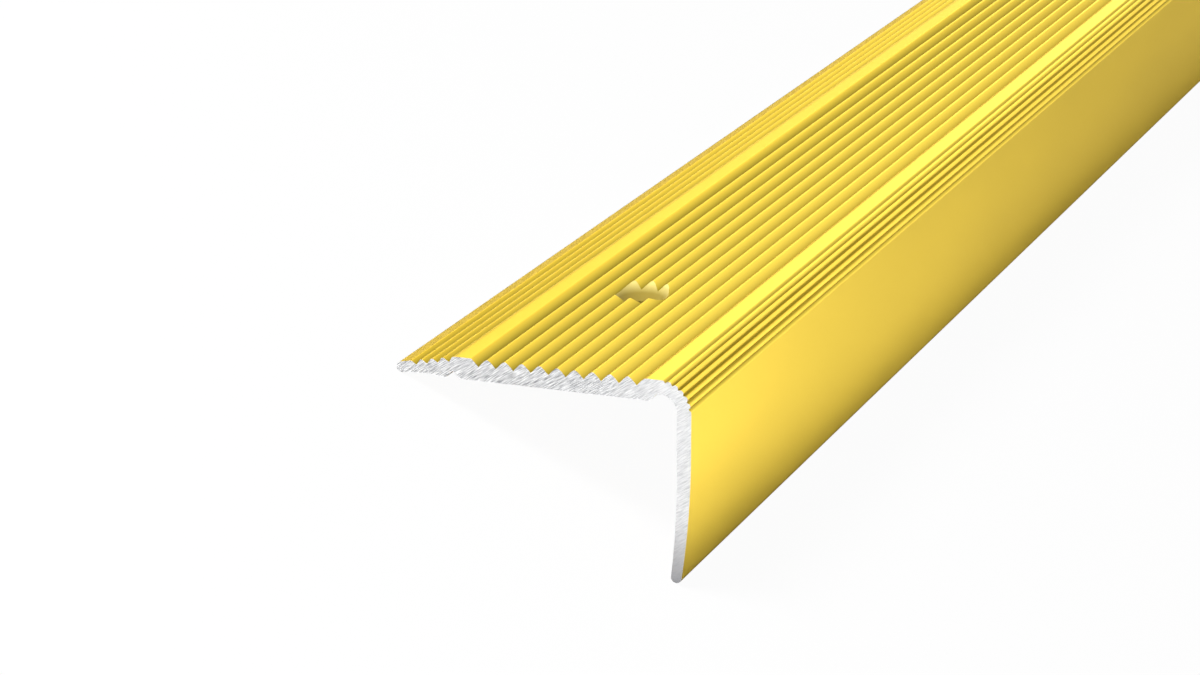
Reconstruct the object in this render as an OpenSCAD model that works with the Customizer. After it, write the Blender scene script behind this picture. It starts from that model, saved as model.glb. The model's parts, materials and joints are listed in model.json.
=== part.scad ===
// Grooved stair nosing: one extruded aluminium angle that wraps the edge of a stair.
// The ribbed tread flange lies on the step, the riser flange hangs over its front.
// The section is drawn as it sits on a stair: x points forward to the riser face, y points up,
// and the point 0,0 is where the tread's top plane meets the riser face's plane.
// Off the stair the angle rests on the tips of its two flanges with the nose on top.

/* [Strip] */
// Length of the strip along the stair edge
length = 1000; // [300:10:2700]
// Depth of the tread flange, from the riser face back to the lip's tip
tread_depth = 42; // [38:0.5:60]
// Height of the riser flange, from the tread's top down to its tip
riser_height = 28; // [22:0.5:40]
// Thickness of the tread flange
tread_thick = 3; // [2.7:0.1:4]
// Thickness of the riser flange and of the nose's wall
riser_thick = 2; // [1.6:0.1:2.4]
// Thickness of both flanges at their rounded tips
tip_thick = 1.5; // [1.2:0.1:1.6]

/* [Nose] */
// Outer radius of the nose
nose_radius = 4.25; // [3.5:0.25:5.5]
// Number of grip grooves around the nose
nose_grooves = 6; // [3:1:6]
// Angle between neighbouring nose grooves
nose_groove_step = 14.5; // [12:0.5:16]
// Depth of a nose groove
nose_groove_depth = 0.35; // [0.2:0.05:0.45]

/* [Tread grooves] */
// Distance between neighbouring tread grooves
groove_pitch = 2.5; // [2.4:0.1:4]
// Depth of a tread groove
groove_depth = 1.1; // [0.6:0.05:1.15]
// Least width of the plain rib on each side of the tread grooves
rib_least = 2; // [1.5:0.1:3]

/* [Back lip] */
// Length of the sloping lip behind the rear rib
lip_length = 8.5; // [7:0.25:11]
// Distance between neighbouring lip grooves
lip_groove_pitch = 1.6; // [1.4:0.1:2.5]
// Depth of a lip groove
lip_groove_depth = 0.65; // [0.3:0.05:0.7]
// Depth of the bend notch under the lip's root
notch_depth = 1; // [0.5:0.1:1.2]
// Depth of the hollow under the lip
lip_hollow = 0.25; // [0.1:0.05:0.4]

/* [Riser curve] */
// Height below the tread's top at which the riser flange starts to curve in
riser_straight = 10; // [7:0.5:14]
// Radius of the riser flange's inward curve
riser_curve = 124; // [90:1:250]

/* [Screw holes] */
// Number of screw holes along the strip
hole_count = 4; // [2:1:10]
// Distance of the first and last hole from the cut ends
hole_end_gap = 39; // [20:1:80]
// Distance of the holes from the riser face
hole_back = 21.4; // [14:0.1:27]
// Diameter of a screw hole
hole_d = 4.5; // [4:0.1:5.5]
// Diameter of the countersink at the tread's top
countersink_d = 9.2; // [7.5:0.1:9.8]

/* [Hidden] */
$fn = 128;

// How far a cutter reaches past the face that it cuts
over = 1;

// The rounded flange tips
tip_radius = tip_thick / 2;
lip_tip = [tip_radius - tread_depth, tip_radius - tread_thick];

// The nose, and the step from its wall to the thicker tread
nose_center = [-nose_radius, -nose_radius];
nose_groove_first = (90 - (nose_grooves - 1) * nose_groove_step) / 2;
step_height = tread_thick - riser_thick;
step_gap = 0.6;
step_front = nose_radius + step_gap;

// The sloping lip, whose top runs tangent to the round of its tip
lip_root = [lip_length - tread_depth, 0];
lip_reach = norm(lip_root - lip_tip);
lip_slope = atan2(-lip_tip.y, lip_root.x - lip_tip.x) - asin(tip_radius / lip_reach);
lip_shoulder = lip_tip + tip_radius * [-sin(lip_slope), cos(lip_slope)];
lip_groove_first = lip_groove_depth + 0.4;
lip_groove_room = lip_length - tip_thick - lip_groove_first - lip_groove_depth;
lip_grooves = floor(lip_groove_room / lip_groove_pitch) + 1;

// The tread grooves fill the room between the nose and the lip, with an equal rib on each side
groove_room = tread_depth - nose_radius - lip_length;
grooves = floor((groove_room - 2 * rib_least - 2 * groove_depth) / groove_pitch) + 1;
groove_band = (grooves - 1) * groove_pitch;
groove_first = nose_radius + (groove_room - groove_band) / 2;

// The bend notch and the hollow under the lip
notch_back = tread_depth - lip_length + 0.35;
hollow_front = notch_back + notch_depth;
hollow_chord = tread_depth - tip_radius - hollow_front;
hollow_radius = hollow_chord * hollow_chord / (8 * lip_hollow) + lip_hollow / 2;

// The riser flange's curve, along which it thins evenly to its tip
curve_center = [-riser_curve, -riser_straight];
curve_angle = asin((riser_height - riser_straight - tip_radius) / (riser_curve - tip_radius));
curve_steps = 12;
riser_taper = riser_thick - tip_thick;
riser_tip = curve_center + (riser_curve - tip_radius) * [cos(curve_angle), -sin(curve_angle)];

// The screw holes
hole_step = (length - 2 * hole_end_gap) / (hole_count - 1);
countersink_depth = (countersink_d - hole_d) / 2;

// At rest both tips touch the floor, and the strip is centred over the origin
tip_span = riser_tip - lip_tip;
lean = atan2(-tip_span.y, tip_span.x);
tip_middle = (riser_tip + lip_tip) / 2;
rest_shift = tip_middle.y * sin(lean) - tip_middle.x * cos(lean);
rest_lift = tip_radius - tip_middle.x * sin(lean) - tip_middle.y * cos(lean);

// A point on the riser flange's curve, by its angle from the start and its depth inside the outer face
function curve_point(angle, depth) =
    curve_center + (riser_curve - depth) * [cos(angle), -sin(angle)];

// A right-angled groove cutter, with its mouth on the x axis
module vee(depth) {
    polygon([[-depth - over, over], [0, -depth], [depth + over, over]]);
}

// The flat tread flange with its sloping lip
module tread_flange() {
    polygon([
        [-nose_radius, 0],
        lip_root,
        lip_shoulder,
        lip_tip,
        [lip_tip.x, -tread_thick],
        [-step_front - step_height, -tread_thick],
        [-step_front, -riser_thick],
        [-nose_radius, -riser_thick]
    ]);
    translate(lip_tip)
        circle(r = tip_radius);
}

// The quarter round that joins the two flanges
module nose() {
    translate(nose_center)
        intersection() {
            difference() {
                circle(r = nose_radius);
                circle(r = nose_radius - riser_thick);
            }
            square(nose_radius);
        }
}

// The riser flange: straight below the nose, then curving in towards the stair
module riser_flange() {
    translate([-riser_thick, -riser_straight])
        square([riser_thick, riser_straight - nose_radius]);
    intersection() {
        translate(curve_center)
            circle(r = riser_curve, $fn = 720);
        polygon(concat(
            [for (i = [0 : curve_steps])
                curve_point(curve_angle * i / curve_steps, riser_thick - riser_taper * i / curve_steps)],
            [curve_point(curve_angle, -over), curve_point(0, -over)]
        ));
    }
    translate(riser_tip)
        circle(r = tip_radius);
}

// The long grooves in the tread, the lip and the nose
module grip_grooves() {
    for (i = [0 : grooves - 1])
        translate([-groove_first - i * groove_pitch, 0])
            vee(groove_depth);
    for (i = [0 : lip_grooves - 1])
        translate(lip_root)
            rotate(lip_slope)
                translate([-lip_groove_first - i * lip_groove_pitch, 0])
                    vee(lip_groove_depth);
    for (i = [0 : nose_grooves - 1])
        translate(nose_center)
            rotate(-nose_groove_first - i * nose_groove_step)
                translate([0, nose_radius])
                    vee(nose_groove_depth);
}

// The notch and the hollow on the underside, which let the lip bear on an uneven step
module underside_relief() {
    translate([-notch_back, -tread_thick])
        rotate(180)
            vee(notch_depth);
    translate([-hollow_front - hollow_chord / 2, lip_hollow - tread_thick - hollow_radius])
        circle(r = hollow_radius, $fn = 360);
}

// The whole cross-section
module section() {
    difference() {
        union() {
            tread_flange();
            nose();
            riser_flange();
        }
        grip_grooves();
        underside_relief();
    }
}

// A countersunk screw hole, with its mouth at the tread's top
module screw_hole() {
    translate([0, 0, -tread_thick - over])
        cylinder(d = hole_d, h = tread_thick + 2 * over);
    translate([0, 0, -countersink_depth])
        cylinder(r1 = hole_d / 2, r2 = countersink_d / 2 + over, h = countersink_depth + over);
}

// The strip, lying unheld on the tips of its flanges
module nosing_profile() {
    color([0.87, 0.72, 0.25])
        translate([rest_shift, 0, rest_lift])
            rotate([0, -lean, 0])
                difference() {
                    rotate([90, 0, 0])
                        linear_extrude(height = length, center = true)
                            section();
                    for (i = [0 : hole_count - 1])
                        translate([-hole_back, hole_end_gap - length / 2 + i * hole_step, 0])
                            screw_hole();
                }
}

nosing_profile();
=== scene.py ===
"""Grooved stair nosing in gold anodised aluminium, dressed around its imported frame.

The strip is one extrusion, so its section is drawn once and pulled along the strip, and the
screw holes are then drilled through it. The section is drawn as it sits on a stair: x points
forward to the riser face, z points up, and zero is where the tread's top plane meets the riser
face's plane. The finished mesh is leaned over to the pose in which the strip lies unheld.
"""
import json
import logging
import math
from dataclasses import dataclass, field
from enum import IntEnum

import bmesh
import bpy
from mathutils import Matrix, Vector


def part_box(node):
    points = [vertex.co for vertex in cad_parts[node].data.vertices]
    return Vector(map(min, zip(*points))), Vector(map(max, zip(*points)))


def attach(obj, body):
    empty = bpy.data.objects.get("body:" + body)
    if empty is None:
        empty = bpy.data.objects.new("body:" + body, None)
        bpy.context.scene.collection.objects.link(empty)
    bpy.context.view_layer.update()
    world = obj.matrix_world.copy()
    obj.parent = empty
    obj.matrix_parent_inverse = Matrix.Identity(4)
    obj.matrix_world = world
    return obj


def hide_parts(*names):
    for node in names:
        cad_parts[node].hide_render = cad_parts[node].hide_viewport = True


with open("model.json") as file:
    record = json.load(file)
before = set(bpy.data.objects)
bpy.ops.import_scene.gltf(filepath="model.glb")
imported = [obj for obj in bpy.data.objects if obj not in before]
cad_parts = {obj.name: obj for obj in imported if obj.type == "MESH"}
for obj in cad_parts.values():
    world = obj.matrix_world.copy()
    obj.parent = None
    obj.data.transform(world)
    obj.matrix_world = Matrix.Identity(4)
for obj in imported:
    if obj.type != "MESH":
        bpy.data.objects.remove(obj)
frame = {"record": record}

log = logging.getLogger("stair_nosing")

NODE = "nosing_profile"
MM = 0.001
DOWN_THE_STRIP = Vector((0.0, 1.0, 0.0))
UPRIGHT = Vector((0.0, 0.0, 1.0))
WHITE = (1.0, 1.0, 1.0, 1.0)
# The mesh attribute that carries the groove roots' painted shade.
GROOVE_SHADE_ATTRIBUTE = "groove_depth"

Colour = tuple[float, float, float]
Scale = tuple[float, float, float]
Span = tuple[float, float]


class Surface(IntEnum):
    """The material slots of the strip's mesh."""

    ANODISED = 0
    SAWN = 1
    DRILLED = 2


class MixColour(IntEnum):
    """The colour sockets of a mix node, by number because its sockets share their names."""

    FIRST = 6
    SECOND = 7
    BLENDED = 2


def as_object(bm: bmesh.types.BMesh, name: str) -> bpy.types.Object:
    """Put a finished bmesh into the scene.

    Args:
        bm: The mesh, which is freed.
        name: The object's name.

    Returns:
        The object.
    """
    mesh = bpy.data.meshes.new(name)
    bm.to_mesh(mesh)
    bm.free()
    piece = bpy.data.objects.new(name, mesh)
    bpy.context.scene.collection.objects.link(piece)
    return piece


def turn_round(bm: bmesh.types.BMesh, centre: Vector, sides: int, merge: float) -> None:
    """Turn the mesh's open outline once around an upright axis, and close its seam and poles.

    Args:
        bm: The mesh that holds the outline.
        centre: A point on the axis.
        sides: The number of flat sides around the turned shape.
        merge: The distance within which points become one, in metres.
    """
    outline = [part for part in (*bm.verts, *bm.edges) if part.is_wire]
    bmesh.ops.spin(
        bm,
        geom=outline,
        cent=centre,
        axis=UPRIGHT,
        angle=2 * math.pi,
        steps=sides,
        use_merge=True,
    )
    bmesh.ops.remove_doubles(bm, verts=bm.verts, dist=merge)


class OutlinePen:
    """Draws one outline in an upright plane, point by point and arc by arc."""

    def __init__(self, bm: bmesh.types.BMesh, start: Vector) -> None:
        """Put the pen down.

        Args:
            bm: The mesh that the outline is drawn into.
            start: The outline's first point.
        """
        self.bm = bm
        self.first = bmesh.ops.create_vert(bm, co=start)["vert"][0]
        self.tip = self.first
        self.rounds: dict[float, list[bmesh.types.BMVert]] = {}

    def mark(self, rounding: float) -> None:
        """Mark the corner at the pen's tip to be cut back this far along its edges and rounded."""
        if rounding > 0.0:
            self.rounds.setdefault(rounding, []).append(self.tip)

    def line(self, point: Vector, rounding: float = 0.0) -> None:
        """Draw a straight edge to a point.

        Args:
            point: Where the edge ends.
            rounding: How far the corner there is cut back along its edges to be rounded.
        """
        grown = bmesh.ops.extrude_vert_indiv(self.bm, verts=[self.tip])
        step = point - self.tip.co
        bmesh.ops.translate(self.bm, verts=grown["verts"], vec=step)
        self.tip = grown["verts"][0]
        self.mark(rounding)

    def bow(self, point: Vector, bulge: float, steps: int, rounding: float = 0.0) -> None:
        """Draw a slightly bowed edge to a point, with the solid on the left of the way it is drawn.

        Args:
            point: Where the edge ends.
            bulge: How far the middle stands out from the straight line, or below 0 for a hollow.
            steps: The number of edges.
            rounding: How far the corner at the end is cut back to be rounded.
        """
        chord = point - self.tip.co
        radius = chord.length**2 / (8 * bulge) + bulge / 2
        inward = Vector((-chord.z, 0.0, chord.x)).normalized()
        centre = self.tip.co + chord / 2 + inward * (radius - bulge)
        self.arc(centre, 2 * math.asin(chord.length / 2 / radius), steps)
        self.mark(rounding)

    def arc(self, centre: Vector, turn: float, steps: int) -> None:
        """Draw a round stretch.

        Args:
            centre: The middle of the arc's circle.
            turn: The angle turned through, in radians, anticlockwise with x right and z up.
            steps: The number of edges.
        """
        swept = bmesh.ops.spin(
            self.bm, geom=[self.tip], cent=centre, axis=DOWN_THE_STRIP, angle=-turn, steps=steps
        )
        self.tip = next(part for part in swept["geom_last"] if isinstance(part, bmesh.types.BMVert))

    def close(self, segments: int) -> bmesh.types.BMFace:
        """Join the outline's ends, fill it and round its marked corners.

        Args:
            segments: The number of edges in a rounded corner.

        Returns:
            The filled section.
        """
        bmesh.ops.contextual_create(self.bm, geom=[self.tip, self.first])
        bmesh.ops.contextual_create(self.bm, geom=self.bm.edges[:])
        for rounding, corners in self.rounds.items():
            bmesh.ops.bevel(
                self.bm,
                geom=corners,
                offset=rounding,
                offset_type="OFFSET",
                segments=segments,
                profile=0.5,
                affect="VERTICES",
                material=-1,
            )
        self.bm.faces.ensure_lookup_table()
        return self.bm.faces[0]


@dataclass
class Section:
    """The strip's cross-section.

    Its sizes are in metres and its angle is in radians. The painted shades say how dark the
    grip grooves' roots are painted, as the shade that falls in them, from 0 to 1.
    """

    tread_depth: float = 42 * MM
    riser_height: float = 28 * MM
    tread_thick: float = 3 * MM
    riser_thick: float = 2 * MM
    tip_thick: float = 1.5 * MM
    nose_radius: float = 4.25 * MM
    nose_grooves: int = 6
    nose_groove_step: float = math.radians(14.5)
    nose_groove_depth: float = 0.35 * MM
    groove_pitch: float = 2.5 * MM
    groove_depth: float = 1.1 * MM
    rib_least: float = 2 * MM
    lip_length: float = 8.5 * MM
    lip_groove_pitch: float = 1.6 * MM
    lip_groove_depth: float = 0.65 * MM
    lip_groove_margin: float = 0.4 * MM
    notch_depth: float = 1 * MM
    notch_gap: float = 0.35 * MM
    lip_hollow: float = 0.25 * MM
    step_gap: float = 0.6 * MM
    riser_straight: float = 10 * MM
    riser_curve: float = 124 * MM
    rib_round: float = 0.4 * MM
    crest_round: float = 0.14 * MM
    root_round: float = 0.1 * MM
    fine_round: float = 0.09 * MM
    notch_round: float = 0.2 * MM
    round_segments: int = 4
    flank_bulge: float = 0.04 * MM
    flank_steps: int = 4
    ridge_steps: int = 3
    arc_steps: int = 12
    # Painted shade in the groove roots: the tread's front and rear weights, the lip's and the nose's.
    front_root_painted_shade: float = 0.48
    rear_root_painted_shade: float = 1.0
    lip_root_painted_shade: float = 0.75
    nose_painted_shade_curve: float = 0.7
    nose_end_painted_shade_fade: float = 0.3
    deepest_share: float = 1.05

    @property
    def tip_radius(self) -> float:
        """The radius of both flanges' rounded tips."""
        return self.tip_thick / 2

    @property
    def lip_tip(self) -> Vector:
        """The middle of the back lip's rounded tip."""
        return self.point(self.tip_radius - self.tread_depth, self.tip_radius - self.tread_thick)

    @property
    def lip_root(self) -> Vector:
        """The rear rib's back edge, from which the lip slopes down."""
        return self.point(self.lip_length - self.tread_depth, 0.0)

    @property
    def lip_slope(self) -> float:
        """The angle that the lip slopes down at, in radians."""
        fall = self.lip_root - self.lip_tip
        return math.atan2(fall.z, fall.x) - math.asin(self.tip_radius / fall.length)

    @property
    def nose_centre(self) -> Vector:
        """The middle of the nose's quarter round."""
        return self.point(-self.nose_radius, -self.nose_radius)

    @property
    def curve_centre(self) -> Vector:
        """The middle of the riser flange's outer curve."""
        return self.point(-self.riser_curve, -self.riser_straight)

    @property
    def curve_turn(self) -> float:
        """The angle that the riser flange's curve turns through, in radians."""
        drop = self.riser_height - self.riser_straight - self.tip_radius
        return math.asin(drop / (self.riser_curve - self.tip_radius))

    @property
    def riser_tip(self) -> Vector:
        """The middle of the riser flange's rounded tip."""
        return self.on_curve(self.curve_turn, self.tip_radius)

    @property
    def lean(self) -> float:
        """The angle that the strip leans at when it lies on its two tips, in radians."""
        span = self.riser_tip - self.lip_tip
        return math.atan2(-span.z, span.x)

    @property
    def rest(self) -> Matrix:
        """The move from the drawn section to the resting pose."""
        turned = Matrix.Rotation(-self.lean, 4, "Y")
        middle = turned @ ((self.riser_tip + self.lip_tip) / 2)
        return Matrix.Translation((-middle.x, 0.0, self.tip_radius - middle.z)) @ turned

    @staticmethod
    def point(x: float, z: float) -> Vector:
        """A point in the section's plane."""
        return Vector((x, 0.0, z))

    def on_curve(self, turn: float, depth: float) -> Vector:
        """A point on the riser flange's curve.

        Args:
            turn: The angle from the curve's start, in radians.
            depth: The distance inside the outer face.

        Returns:
            The point.
        """
        reach = self.riser_curve - depth
        return self.curve_centre + self.point(reach * math.cos(turn), -reach * math.sin(turn))

    def painted_groove_shade(self, place: Vector) -> float:
        """How deep a point lies in a grip groove, weighed by the painted shade of that groove's root.

        A point past the deepest share of a groove's depth lies on an inner face.

        Args:
            place: The point, in the section's upright axes.

        Returns:
            0 on an outer face and away from the grooves, and up to 1 at a groove's root.
        """
        if place.x < self.lip_root.x:
            way = place - self.lip_root
            depth = way.x * math.sin(self.lip_slope) - way.z * math.cos(self.lip_slope)
            share = depth / self.lip_groove_depth
            weight = self.lip_root_painted_shade
        elif place.x > self.nose_centre.x and place.z > self.nose_centre.z:
            way = place - self.nose_centre
            depth = max(0.0, self.nose_radius - math.hypot(way.x, way.z))
            share = (depth / self.nose_groove_depth) ** self.nose_painted_shade_curve
            middle = math.pi / 4
            off_middle = abs(math.atan2(way.z, way.x) - middle) / middle
            weight = 1 - self.nose_end_painted_shade_fade * off_middle
        else:
            share = -place.z / self.groove_depth
            back = (self.nose_centre.x - place.x) / (self.nose_centre.x - self.lip_root.x)
            weight = self.front_root_painted_shade + back * (self.rear_root_painted_shade - self.front_root_painted_shade)
        return weight * share if 0.0 < share < self.deepest_share else 0.0

    def draw(self, bm: bmesh.types.BMesh) -> bmesh.types.BMFace:
        """Draw the whole section.

        Args:
            bm: The mesh that the section is drawn into.

        Returns:
            The filled section.
        """
        pen = OutlinePen(bm, self.point(0.0, -self.nose_radius))
        self.draw_nose(pen)
        self.draw_tread(pen)
        self.draw_lip(pen)
        self.draw_underside(pen)
        self.draw_riser(pen)
        return pen.close(self.round_segments)

    def draw_nose(self, pen: OutlinePen) -> None:
        """Draw the grooved quarter round from the riser face up to the tread.

        Args:
            pen: The pen, at the top of the riser face.
        """
        centre = self.nose_centre
        valley = self.nose_radius - self.nose_groove_depth
        half_mouth = (math.sqrt(2 * self.nose_radius**2 - valley**2) - valley) / 2
        half_turn = math.asin(half_mouth / self.nose_radius)
        first = (math.pi / 2 - (self.nose_grooves - 1) * self.nose_groove_step) / 2
        reached = 0.0
        for index in range(self.nose_grooves):
            middle = first + index * self.nose_groove_step
            pen.arc(centre, middle - half_turn - reached, self.ridge_steps)
            pen.mark(self.fine_round)
            root = Matrix.Rotation(-middle, 4, "Y") @ self.point(valley, 0.0)
            pen.line(centre + root, self.fine_round)
            reached = middle + half_turn
            edge = Matrix.Rotation(-reached, 4, "Y") @ self.point(self.nose_radius, 0.0)
            pen.line(centre + edge, self.fine_round)
        pen.arc(centre, math.pi / 2 - reached, self.ridge_steps)

    def draw_tread(self, pen: OutlinePen) -> None:
        """Draw the front rib, the tread grooves and the rear rib.

        Args:
            pen: The pen, at the top of the nose.
        """
        room = self.tread_depth - self.nose_radius - self.lip_length
        spare = room - 2 * self.rib_least - 2 * self.groove_depth
        count = math.floor(spare / self.groove_pitch) + 1
        band = (count - 1) * self.groove_pitch
        first = self.nose_radius + (room - band) / 2
        flank = (self.flank_bulge, self.flank_steps)
        for index in range(count):
            middle = -first - index * self.groove_pitch
            front = self.rib_round if index == 0 else self.crest_round
            pen.line(self.point(middle + self.groove_depth, 0.0), front)
            pen.bow(self.point(middle, -self.groove_depth), *flank, self.root_round)
            pen.bow(self.point(middle - self.groove_depth, 0.0), *flank, self.crest_round)
        pen.line(self.lip_root, self.rib_round)

    def draw_lip(self, pen: OutlinePen) -> None:
        """Draw the sloping grooved lip and its rounded tip.

        Args:
            pen: The pen, at the rear rib's back edge.
        """
        slope = self.lip_slope
        sloped = Matrix.Translation(self.lip_root) @ Matrix.Rotation(-slope, 4, "Y")
        first = self.lip_groove_depth + self.lip_groove_margin
        room = self.lip_length - self.tip_thick - first - self.lip_groove_depth
        count = math.floor(room / self.lip_groove_pitch) + 1
        for index in range(count):
            middle = -first - index * self.lip_groove_pitch
            pen.line(sloped @ self.point(middle + self.lip_groove_depth, 0.0), self.fine_round)
            pen.line(sloped @ self.point(middle, -self.lip_groove_depth), self.crest_round)
            pen.line(sloped @ self.point(middle - self.lip_groove_depth, 0.0), self.fine_round)
        shoulder = self.point(-math.sin(slope), math.cos(slope)) * self.tip_radius
        pen.line(self.lip_tip + shoulder)
        pen.arc(self.lip_tip, math.pi - slope, self.arc_steps)

    def draw_underside(self, pen: OutlinePen) -> None:
        """Draw the hollow and the bend notch under the lip, the flat seat and the step to the nose.

        Args:
            pen: The pen, at the bottom of the lip's tip.
        """
        notch = self.lip_length - self.tread_depth - self.notch_gap
        hollow_end = self.point(notch - self.notch_depth, -self.tread_thick)
        pen.bow(hollow_end, -self.lip_hollow, self.arc_steps, self.root_round)
        pen.line(self.point(notch, self.notch_depth - self.tread_thick), self.notch_round)
        pen.line(self.point(notch + self.notch_depth, -self.tread_thick), self.root_round)
        step_height = self.tread_thick - self.riser_thick
        step_front = -self.nose_radius - self.step_gap
        pen.line(self.point(step_front - step_height, -self.tread_thick), self.root_round)
        pen.line(self.point(step_front, -self.riser_thick), self.root_round)
        pen.line(self.point(-self.nose_radius, -self.riser_thick))

    def draw_riser(self, pen: OutlinePen) -> None:
        """Draw the riser flange: down its inner face, round its tip and up its outer face.

        Args:
            pen: The pen, at the top of the nose's inner round.
        """
        pen.arc(self.nose_centre, -math.pi / 2, self.arc_steps)
        pen.line(self.point(-self.riser_thick, -self.riser_straight))
        taper = self.riser_thick - self.tip_thick
        for index in range(1, self.arc_steps + 1):
            share = index / self.arc_steps
            pen.line(self.on_curve(self.curve_turn * share, self.riser_thick - taper * share))
        pen.arc(self.riser_tip, math.pi, self.arc_steps)
        pen.arc(self.curve_centre, self.curve_turn, 2 * self.arc_steps)


@dataclass
class ScrewHole:
    """A countersunk screw hole and the drill that cuts it, with sizes in metres."""

    hole_radius: float
    countersink_radius: float = 4.6 * MM
    overshoot: float = 1 * MM
    merge: float = 0.001 * MM
    sides: int = 96

    @property
    def countersink_depth(self) -> float:
        """The depth of the right-angled countersink."""
        return self.countersink_radius - self.hole_radius

    def drill(self, bm: bmesh.types.BMesh, mouth: Vector, depth: float) -> None:
        """Turn one drill, as a closed solid, around an upright axis.

        Args:
            bm: The mesh that the drill is added to.
            mouth: The middle of the hole at the tread's top.
            depth: The thickness that the drill goes through.
        """
        bottom = -depth - self.overshoot
        pen = OutlinePen(bm, mouth + Section.point(0.0, bottom))
        pen.line(mouth + Section.point(self.hole_radius, bottom))
        pen.line(mouth + Section.point(self.hole_radius, -self.countersink_depth))
        pen.line(mouth + Section.point(self.countersink_radius + self.overshoot, self.overshoot))
        pen.line(mouth + Section.point(0.0, self.overshoot))
        turn_round(bm, mouth, self.sides, self.merge)
        bmesh.ops.recalc_face_normals(bm, faces=bm.faces)


class ShaderBench:
    """A material or world under construction: adds nodes and wires them up."""

    def __init__(self, owner: bpy.types.Material | bpy.types.World) -> None:
        """Start on a bare material or world.

        Args:
            owner: The material or world.
        """
        self.owner = owner
        owner.use_nodes = True
        self.tree = owner.node_tree
        self.tree.nodes.clear()
        is_world = isinstance(owner, bpy.types.World)
        self.output = self.add("ShaderNodeOutputWorld" if is_world else "ShaderNodeOutputMaterial")

    @classmethod
    def material(cls, name: str) -> "ShaderBench":
        """Start a new material."""
        return cls(bpy.data.materials.new(name))

    def add(
        self, kind: str, settings: dict[str, object] | None = None, **inputs: object
    ) -> bpy.types.Node:
        """Add a node.

        Args:
            kind: The node's type.
            settings: Values of the node's own properties.
            inputs: Values or output sockets for its inputs, with spaces in a name as underscores.

        Returns:
            The node.
        """
        node = self.tree.nodes.new(kind)
        for name, value in (settings or {}).items():
            setattr(node, name, value)
        for name, value in inputs.items():
            socket = node.inputs[name.replace("_", " ")]
            if isinstance(value, bpy.types.NodeSocket):
                self.tree.links.new(value, socket)
            else:
                socket.default_value = value
        return node

    def section_place(self, section: Section) -> bpy.types.NodeSocket:
        """The place on the piece in the section's own upright axes.

        Args:
            section: The section, which knows the resting pose.

        Returns:
            The vector's socket.
        """
        back = section.rest.inverted()
        upright = self.add(
            "ShaderNodeMapping",
            Vector=self.add("ShaderNodeTexCoord").outputs["Object"],
            Location=back.to_translation(),
            Rotation=back.to_euler(),
        )
        return upright.outputs["Vector"]

    def part(self, place: bpy.types.NodeSocket, axis: str) -> bpy.types.NodeSocket:
        """One coordinate of a place."""
        return self.add("ShaderNodeSeparateXYZ", Vector=place).outputs[axis]

    def streaks(
        self, place: bpy.types.NodeSocket, scale: Scale, turn: float = 0.0, detail: float = 2.0
    ) -> bpy.types.NodeSocket:
        """Noise that is drawn out along one direction.

        Args:
            place: The vector that the noise is read at.
            scale: The noise's cells to the metre along x, y and z, after the turn.
            turn: The angle about the strip's length that the streaks are turned by, in radians.
            detail: The noise's octaves.

        Returns:
            The noise's socket, from 0 to 1.
        """
        turned = self.add(
            "ShaderNodeVectorRotate", {"rotation_type": "Y_AXIS"}, Vector=place, Angle=turn
        )
        stretched = self.add("ShaderNodeMapping", Vector=turned.outputs["Vector"], Scale=scale)
        noise = self.add(
            "ShaderNodeTexNoise", Vector=stretched.outputs["Vector"], Scale=1.0, Detail=detail
        )
        return noise.outputs["Fac"]

    def between(
        self,
        value: bpy.types.NodeSocket,
        low: float,
        high: float,
        source: Span = (0.0, 1.0),
    ) -> bpy.types.NodeSocket:
        """Map a value onto another range.

        Args:
            value: The value's socket.
            low: What the source range's start becomes.
            high: What the source range's end becomes.
            source: The range that the value is read over.

        Returns:
            The new value's socket.
        """
        mapped = self.add(
            "ShaderNodeMapRange",
            Value=value,
            From_Min=source[0],
            From_Max=source[1],
            To_Min=low,
            To_Max=high,
        )
        return mapped.outputs["Result"]

    def blend(
        self,
        share: bpy.types.NodeSocket,
        first: Colour | bpy.types.NodeSocket,
        second: Colour,
    ) -> bpy.types.NodeSocket:
        """Blend two colours.

        Args:
            share: How much of the second colour shows.
            first: The first colour or its socket.
            second: The second colour.

        Returns:
            The blended colour's socket.
        """
        mix = self.add("ShaderNodeMix", {"data_type": "RGBA"}, Factor=share)
        if isinstance(first, bpy.types.NodeSocket):
            self.tree.links.new(first, mix.inputs[MixColour.FIRST])
        else:
            mix.inputs[MixColour.FIRST].default_value = (*first, 1.0)
        mix.inputs[MixColour.SECOND].default_value = (*second, 1.0)
        return mix.outputs[MixColour.BLENDED]

    def reckon(
        self, operation: str, first: bpy.types.NodeSocket, second: bpy.types.NodeSocket
    ) -> bpy.types.NodeSocket:
        """Work out one value from two.

        Args:
            operation: The sum's kind, as the math node names it.
            first: The first value's socket.
            second: The second value's socket.

        Returns:
            The result's socket.
        """
        node = self.add("ShaderNodeMath", {"operation": operation})
        self.tree.links.new(first, node.inputs[0])
        self.tree.links.new(second, node.inputs[1])
        return node.outputs[0]

    def bump(self, height: bpy.types.NodeSocket, depth: float) -> bpy.types.NodeSocket:
        """Turn a height into a bumped normal.

        Args:
            height: The height's socket, from 0 to 1.
            depth: The real height of 1, in metres.

        Returns:
            The normal's socket.
        """
        node = self.add("ShaderNodeBump", Height=height, Strength=1.0, Distance=depth)
        return node.outputs["Normal"]

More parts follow.
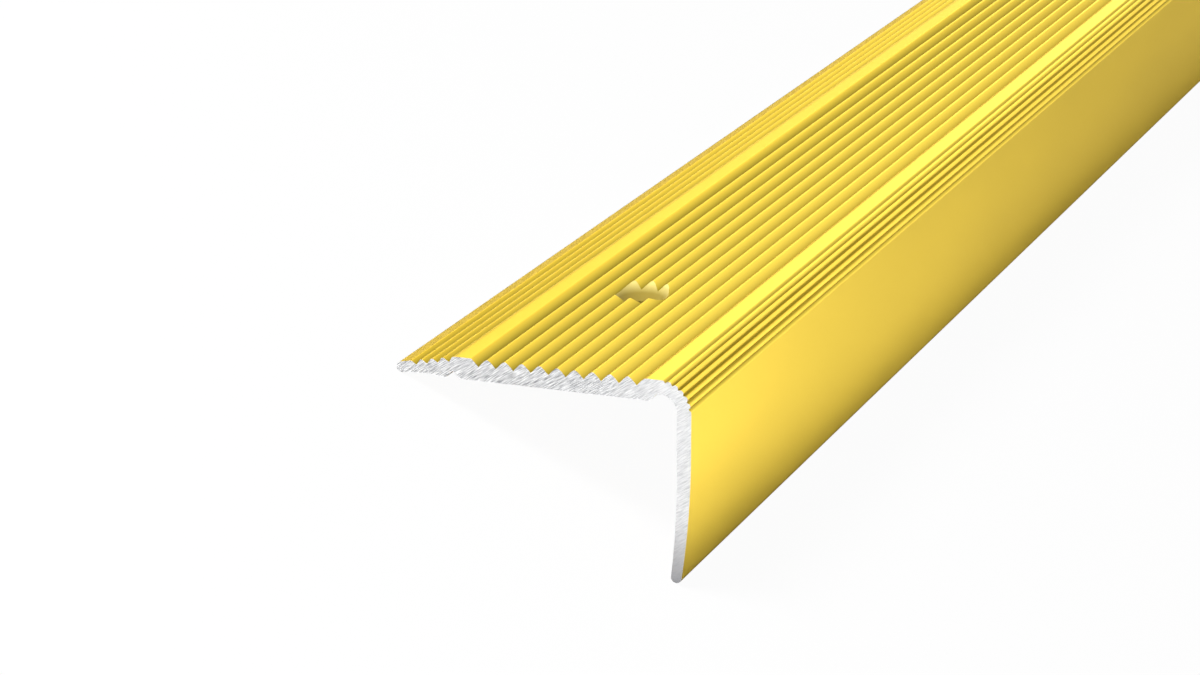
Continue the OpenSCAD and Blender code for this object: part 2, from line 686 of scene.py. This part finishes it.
    def white_in_view(self, seen: float, mirrored: float, lit: float) -> bpy.types.NodeSocket:
        """How white the room shows, by the kind of ray that meets it.

        The white that metal mirrors lights nothing else, so it counts only before a ray has
        met a matt face.

        Args:
            seen: What the camera sees.
            mirrored: What metal mirrors and what shows through glass.
            lit: What everything else gets.

        Returns:
            The level's socket.
        """
        rays = self.add("ShaderNodeLightPath").outputs
        level = self.between(rays["Is Camera Ray"], lit, seen)
        unscattered = self.between(rays["Diffuse Depth"], 1.0, 0.0)
        for ray in ("Is Glossy Ray", "Is Transmission Ray"):
            shown = self.reckon("MULTIPLY", rays[ray], unscattered)
            level = self.reckon("MAXIMUM", level, self.between(shown, lit, mirrored))
        return level

    def finish(self, shader: bpy.types.Node) -> bpy.types.Material | bpy.types.World:
        """Connect the last shader.

        Args:
            shader: The shader that the surface shows.

        Returns:
            The finished material or world.
        """
        self.tree.links.new(shader.outputs[0], self.output.inputs["Surface"])
        return self.owner


@dataclass(frozen=True)
class GoldAnodised:
    """Satin gold anodised aluminium with faint die lines; painted shade darkens the back and groove
    roots.
    """

    # Painted shade: the gold darkens from the front colour to the back one toward the back lip.
    shaded_back_gold: Colour = (0.7, 0.485, 0.045)
    front_gold: Colour = (0.91, 0.67, 0.094)
    # Painted shade: the colour that the groove roots are darkened to.
    root: Colour = (0.14, 0.122, 0.012)
    edge_tint: Colour = (0.95, 0.83, 0.4)
    clear_layer: float = 0.14
    layer_roughness: float = 0.3
    roughness: Span = (0.29, 0.34)
    line_scale: Scale = (2600.0, 5.0, 2600.0)
    line_depth: float = 0.0004 * MM
    cloud_scale: Scale = (60.0, 14.0, 60.0)
    cloud_detail: float = 3.0

    def build(self, section: Section) -> bpy.types.Material:
        """Make the material.

        Args:
            section: The section that the finish follows.

        Returns:
            The material.
        """
        bench = ShaderBench.material("gold_anodised")
        place = bench.section_place(section)
        lines = bench.streaks(place, self.line_scale)
        clouds = bench.streaks(place, self.cloud_scale, detail=self.cloud_detail)
        # Painted shade in the groove roots, read from the mesh.
        depth = bench.add("ShaderNodeAttribute", {"attribute_name": GROOVE_SHADE_ATTRIBUTE}).outputs["Fac"]
        # Painted shade: darker toward the back lip.
        tread = (section.lip_tip.x, section.nose_centre.x)
        ahead = bench.between(bench.part(place, "X"), 0.0, 1.0, tread)
        outer = bench.blend(ahead, self.shaded_back_gold, self.front_gold)
        shader = bench.add(
            "ShaderNodeBsdfPrincipled",
            Base_Color=bench.blend(depth, outer, self.root),
            Specular_Tint=(*self.edge_tint, 1.0),
            Coat_Weight=self.clear_layer,
            Coat_Roughness=self.layer_roughness,
            Metallic=1.0,
            Roughness=bench.between(clouds, *self.roughness),
            Normal=bench.bump(lines, self.line_depth),
        )
        return bench.finish(shader)


@dataclass(frozen=True)
class SawnAluminium:
    """Bare sawn aluminium: slanting scratches, painted light that lightens the end toward the nose,
    and a greyer riser tip.
    """

    shade: Colour = (0.28, 0.285, 0.3)
    # Painted light: the base colour that the end lightens to toward the nose.
    smooth: Colour = (0.62, 0.625, 0.635)
    shine: Colour = (0.9, 0.902, 0.905)
    painted_light_reach: Span = (-16 * MM, -3 * MM)
    # Greyer toward the riser flange's tip.
    tip_grey: Colour = (0.27, 0.27, 0.285)
    tip_grey_reach: Span = (-18.5 * MM, -29.5 * MM)
    metallic: float = 0.5
    roughness: Span = (0.45, 0.62)
    stroke: float = math.radians(34)
    scratch_scale: Scale = (650.0, 650.0, 8500.0)
    scratch_detail: float = 4.0
    scratch_depth: float = 0.012 * MM
    scratch_range: Span = (0.36, 0.6)

    def build(self, section: Section) -> bpy.types.Material:
        """Make the material.

        Args:
            section: The section that the finish follows.

        Returns:
            The material.
        """
        bench = ShaderBench.material("sawn_aluminium")
        place = bench.section_place(section)
        scratches = bench.streaks(place, self.scratch_scale, self.stroke, self.scratch_detail)
        scored = bench.between(scratches, 0.0, 1.0, self.scratch_range)
        # Painted light: lighter toward the nose.
        ahead = bench.between(bench.part(place, "X"), 0.0, 1.0, self.painted_light_reach)
        # Greyer toward the riser flange's tip.
        below = bench.between(bench.part(place, "Z"), 0.0, 1.0, self.tip_grey_reach)
        metal = bench.blend(scored, bench.blend(ahead, self.shade, self.smooth), self.shine)
        shader = bench.add(
            "ShaderNodeBsdfPrincipled",
            Base_Color=bench.blend(below, metal, self.tip_grey),
            Metallic=self.metallic,
            Roughness=bench.between(scored, *self.roughness),
            Normal=bench.bump(scored, self.scratch_depth),
        )
        return bench.finish(shader)


@dataclass(frozen=True)
class DrilledGold:
    """The countersink's wall, where the drill has thinned the gold, with the drill's rings and painted
    shade deeper down.
    """

    # The wall's thinned gold, with painted shade darkening it from the rim down into the countersink.
    shaded_deep_gold: Colour = (0.35, 0.26, 0.045)
    rim_gold: Colour = (0.9, 0.75, 0.24)
    painted_shade_fade: Span = (-1.4 * MM, -0.1 * MM)
    metallic: float = 0.35
    roughness: float = 0.6
    ring_scale: Scale = (120.0, 120.0, 5200.0)
    ring_depth: float = 0.004 * MM

    def build(self, section: Section) -> bpy.types.Material:
        """Make the material.

        Args:
            section: The section that the finish follows.

        Returns:
            The material.
        """
        bench = ShaderBench.material("drilled_gold")
        place = bench.section_place(section)
        rings = bench.streaks(place, self.ring_scale)
        # Painted shade: darker deeper in the countersink.
        raised = bench.between(bench.part(place, "Z"), 0.0, 1.0, self.painted_shade_fade)
        shader = bench.add(
            "ShaderNodeBsdfPrincipled",
            Base_Color=bench.blend(raised, self.shaded_deep_gold, self.rim_gold),
            Metallic=self.metallic,
            Roughness=self.roughness,
            Normal=bench.bump(rings, self.ring_depth),
        )
        return bench.finish(shader)


@dataclass(frozen=True)
class WhiteSweep:
    """A plain white studio floor or backdrop, which keeps a soft shadow."""

    name: str
    mirrored_glow: float
    colour: Colour = (0.75, 0.75, 0.75)
    seen_glow: float = 0.965

    def build(self) -> bpy.types.Material:
        """Make the material.

        Returns:
            The material.
        """
        bench = ShaderBench.material(self.name)
        paint = bench.add("ShaderNodeBsdfDiffuse", Color=(*self.colour, 1.0))
        white = bench.add("ShaderNodeEmission", Color=WHITE, Strength=1.0)
        glow = bench.white_in_view(self.seen_glow, self.mirrored_glow, 0.0)
        mix = bench.add("ShaderNodeMixShader", Fac=glow)
        bench.tree.links.new(paint.outputs[0], mix.inputs[1])
        bench.tree.links.new(white.outputs[0], mix.inputs[2])
        return bench.finish(mix)


@dataclass
class StairNosing:
    """The strip: one extruded section, drilled for its screws."""

    section: Section = field(default_factory=Section)
    near_hole: float = 8 * MM
    end_facing: float = 0.99
    sharp_angle: float = math.radians(30)
    flat_weight: int = 100

    def screw_places(self) -> list[tuple[Vector, float]]:
        """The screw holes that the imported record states.

        Returns:
            The middle of each hole's wall in the section's upright axes, and its radius.
        """
        upright = self.section.rest.inverted()
        bores = [mount for mount in frame["record"]["mounts"] if mount["kind"] == "bore"]
        return [(upright @ Vector(bore["pos_m"]), bore["dims"]["r_mm"] * MM) for bore in bores]

    def extrude(self) -> bpy.types.Object:
        """Pull the section along the strip, and divide it on both sides of each screw hole.

        The divisions keep a hole's small triangles off the long plain stretches.

        Returns:
            The undrilled strip, in the section's upright axes.
        """
        low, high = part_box(NODE)
        bm = bmesh.new()
        face = self.section.draw(bm)
        pulled = bmesh.ops.extrude_face_region(bm, geom=[face])
        ahead = [part for part in pulled["geom"] if isinstance(part, bmesh.types.BMVert)]
        bmesh.ops.translate(bm, verts=ahead, vec=DOWN_THE_STRIP * (high.y - low.y))
        bmesh.ops.translate(bm, verts=bm.verts, vec=DOWN_THE_STRIP * low.y)
        for middle, _ in self.screw_places():
            for side in (-self.near_hole, self.near_hole):
                geometry = bm.verts[:] + bm.edges[:] + bm.faces[:]
                cut = middle + DOWN_THE_STRIP * side
                bmesh.ops.bisect_plane(bm, geom=geometry, plane_co=cut, plane_no=DOWN_THE_STRIP)
        bmesh.ops.recalc_face_normals(bm, faces=bm.faces)
        return as_object(bm, NODE + "_strip")

    def drills(self) -> bpy.types.Object:
        """Make the drills for all the screw holes.

        Returns:
            The drills, as one object.
        """
        bm = bmesh.new()
        for middle, radius in self.screw_places():
            mouth = Vector((middle.x, middle.y, 0.0))
            ScrewHole(radius).drill(bm, mouth, self.section.tread_thick)
        return as_object(bm, "screw_drills")

    def build(self) -> bpy.types.Object:
        """Extrude, dress, drill and lean the strip.

        Returns:
            The finished piece, riding on the frame.
        """
        piece = self.extrude()
        drills = self.drills()
        self.dress(piece, drills)
        self.cut_holes(piece, drills)
        mesh = piece.data
        # Painted shade for the groove roots, stored on the mesh for the gold's colour.
        painted_shades = [self.section.painted_groove_shade(vertex.co) for vertex in mesh.vertices]
        mesh.attributes.new(GROOVE_SHADE_ATTRIBUTE, "FLOAT", "POINT").data.foreach_set("value", painted_shades)
        mesh.transform(self.section.rest)
        self.smooth(piece)
        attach(piece, "root")
        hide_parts(NODE)
        return piece

    def dress(self, strip: bpy.types.Object, drills: bpy.types.Object) -> None:
        """Give the strip and the drills the finishes that show once the holes are cut.

        Args:
            strip: The undrilled strip.
            drills: The drills, whose finish the holes take over.
        """
        finishes = {
            Surface.ANODISED: GoldAnodised(),
            Surface.SAWN: SawnAluminium(),
            Surface.DRILLED: DrilledGold(),
        }
        for surface in Surface:
            material = finishes[surface].build(self.section)
            strip.data.materials.append(material)
            drills.data.materials.append(material)
            log.info("finish: %s", material.name)
        for polygon in strip.data.polygons:
            cut_end = abs(polygon.normal.dot(DOWN_THE_STRIP)) > self.end_facing
            polygon.material_index = Surface.SAWN if cut_end else Surface.ANODISED
        for polygon in drills.data.polygons:
            polygon.material_index = Surface.DRILLED

    @staticmethod
    def cut_holes(strip: bpy.types.Object, drills: bpy.types.Object) -> None:
        """Cut the screw holes.

        Args:
            strip: The dressed strip.
            drills: The drills, which are removed.
        """
        cut = strip.modifiers.new("drill", "BOOLEAN")
        cut.operation = "DIFFERENCE"
        cut.solver = "EXACT"
        cut.material_mode = "INDEX"
        cut.object = drills
        drilled = strip.evaluated_get(bpy.context.evaluated_depsgraph_get())
        mesh = bpy.data.meshes.new_from_object(drilled)
        strip.modifiers.clear()
        strip.data = mesh
        bpy.data.objects.remove(drills)

    def smooth(self, piece: bpy.types.Object) -> None:
        """Shade the round stretches smoothly and keep the flat faces flat.

        Args:
            piece: The drilled strip.
        """
        mesh = piece.data
        mesh.polygons.foreach_set("use_smooth", [True] * len(mesh.polygons))
        mesh.set_sharp_from_angle(angle=self.sharp_angle)
        weighted = piece.modifiers.new("flat_faces", "WEIGHTED_NORMAL")
        weighted.keep_sharp = True
        weighted.weight = self.flat_weight


@dataclass
class PhotoCamera:
    """The camera, set by where it stands from the strip's near cut end as on a stair.

    The stand and the nearest view are in metres, and the lens and the sensor in millimetres.
    """

    stand: tuple[float, float, float] = (167.57 * MM, -473.24 * MM, 158.79 * MM)
    yaw: float = math.radians(20.863)
    pitch: float = math.radians(16.9)
    lens: float = 120.9
    sensor: float = 36.0
    nearest: float = 10 * MM

    def place(self, rest: Matrix, near_end: float) -> None:
        """Put the camera in the scene.

        Args:
            rest: The move from the section's upright axes to the resting pose.
            near_end: The near cut end's place along the strip.
        """
        data = bpy.data.cameras.new("photo_camera")
        data.lens = self.lens
        data.sensor_width = self.sensor
        data.clip_start = self.nearest
        camera = bpy.data.objects.new("photo_camera", data)
        bpy.context.scene.collection.objects.link(camera)
        aim = Matrix.Rotation(self.yaw, 4, "Z") @ Matrix.Rotation(math.pi / 2 - self.pitch, 4, "X")
        stand = Vector(self.stand) + DOWN_THE_STRIP * near_end
        camera.matrix_world = rest @ Matrix.Translation(stand) @ aim
        bpy.context.scene.camera = camera


@dataclass(frozen=True)
class Softbox:
    """A soft lamp that faces the strip's near end.

    The bearing is its angle right of straight down the strip and the rise its angle above level, in
    degrees. The distance and the size are in metres. Shiny faces don't show a lamp that isn't
    mirrored, and matt ones take no light from a lamp that isn't on matt.
    """

    name: str
    bearing: float
    rise: float
    distance: float
    size: tuple[float, float]
    brightness: float
    mirrored: bool = True
    on_matt: bool = True

    def hang(self, target: Vector) -> None:
        """Hang the lamp.

        Args:
            target: The point that it faces.
        """
        data = bpy.data.lights.new(self.name, "AREA")
        data.shape = "RECTANGLE"
        data.size, data.size_y = self.size
        data.energy = self.brightness * math.pi * self.size[0] * self.size[1]
        lamp = bpy.data.objects.new(self.name, data)
        bpy.context.scene.collection.objects.link(lamp)
        bearing = math.radians(self.bearing)
        rise = math.radians(self.rise)
        level = math.cos(rise)
        way = Vector((math.sin(bearing) * level, math.cos(bearing) * level, math.sin(rise)))
        lamp.location = target + way * self.distance
        lamp.rotation_euler = way.to_track_quat("Z", "Y").to_euler()
        lamp.visible_camera = False
        lamp.visible_glossy = self.mirrored
        lamp.visible_diffuse = self.on_matt


@dataclass
class Studio:
    """A white room with soft lamps, with sizes in metres and a glow of 1 for white."""

    floor_reach: float = 15.0
    sweep_round: float = 3.0
    sweep_height: float = 12.0
    sweep_steps: int = 12
    sweep_sides: int = 96
    merge: float = 1 * MM
    floor_glow: float = 0.01
    wall_glow: float = 0.85
    sky_seen: float = 1.0
    sky: float = 0.07
    lamps: tuple[Softbox, ...] = (
        Softbox("left_box", -22.0, 11.0, 1.4, (0.85, 0.5), 1.4, on_matt=False),
        Softbox("back_box", 2.0, 26.0, 1.4, (0.4, 0.35), 0.85),
        Softbox("far_right_box", 21.0, 17.0, 1.4, (0.42, 0.34), 1.2),
        Softbox("right_box", 46.0, 9.0, 0.75, (0.32, 0.24), 4.5, on_matt=False),
        Softbox("floor_box", -127.0, 38.0, 0.65, (0.16, 0.14), 112.0, mirrored=False),
        Softbox("far_end_box", 3.0, 7.0, 1.6, (0.2, 0.2), 25.0, mirrored=False),
    )

    def build(self, target: Vector) -> None:
        """Lay the floor, light the room and hang the lamps.

        Args:
            target: The point that the lamps face.
        """
        rim = Vector((self.floor_reach, 0.0, 0.0))
        floor = OutlinePen(bmesh.new(), Vector())
        floor.line(rim)
        self.turn(floor.bm, WhiteSweep("white_floor", self.floor_glow))
        backdrop = OutlinePen(bmesh.new(), rim)
        backdrop.arc(rim + UPRIGHT * self.sweep_round, math.pi / 2, self.sweep_steps)
        backdrop.line(Vector((rim.x + self.sweep_round, 0.0, self.sweep_height)))
        self.turn(backdrop.bm, WhiteSweep("white_backdrop", self.wall_glow))
        self.light_room()
        for lamp in self.lamps:
            lamp.hang(target)
            log.info("lamp: %s", lamp.name)
        bpy.context.scene.view_settings.view_transform = "Standard"

    def turn(self, bm: bmesh.types.BMesh, paint: WhiteSweep) -> None:
        """Turn a piece of the stage around the middle of the room.

        Args:
            bm: The outline that is turned, which is freed.
            paint: The piece's finish.
        """
        turn_round(bm, Vector(), self.sweep_sides, self.merge)
        piece = as_object(bm, paint.name)
        piece.data.polygons.foreach_set("use_smooth", [True] * len(piece.data.polygons))
        piece.data.materials.append(paint.build())
        log.info("stage: %s", piece.name)

    def light_room(self) -> None:
        """Light the room evenly, under a white ceiling."""
        bench = ShaderBench(bpy.data.worlds.new("studio"))
        level = bench.white_in_view(self.sky_seen, self.wall_glow, self.sky)
        white = bench.add("ShaderNodeBackground", Color=WHITE, Strength=level)
        bpy.context.scene.world = bench.finish(white)


def main() -> None:
    """Build the strip, the studio and the camera, and log the piece's faces and slots."""
    logging.basicConfig(level=logging.INFO, format="%(name)s: %(message)s")
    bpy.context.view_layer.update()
    nosing = StairNosing()
    piece = nosing.build()
    log.info("%s: %d faces, %d slots", piece.name, len(piece.data.polygons), len(piece.data.materials))
    near_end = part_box(NODE)[0].y
    Studio().build(DOWN_THE_STRIP * near_end)
    PhotoCamera().place(nosing.section.rest, near_end)
    log.info("camera: on the photo's side of the near cut end")


if __name__ == "__main__":
    main()
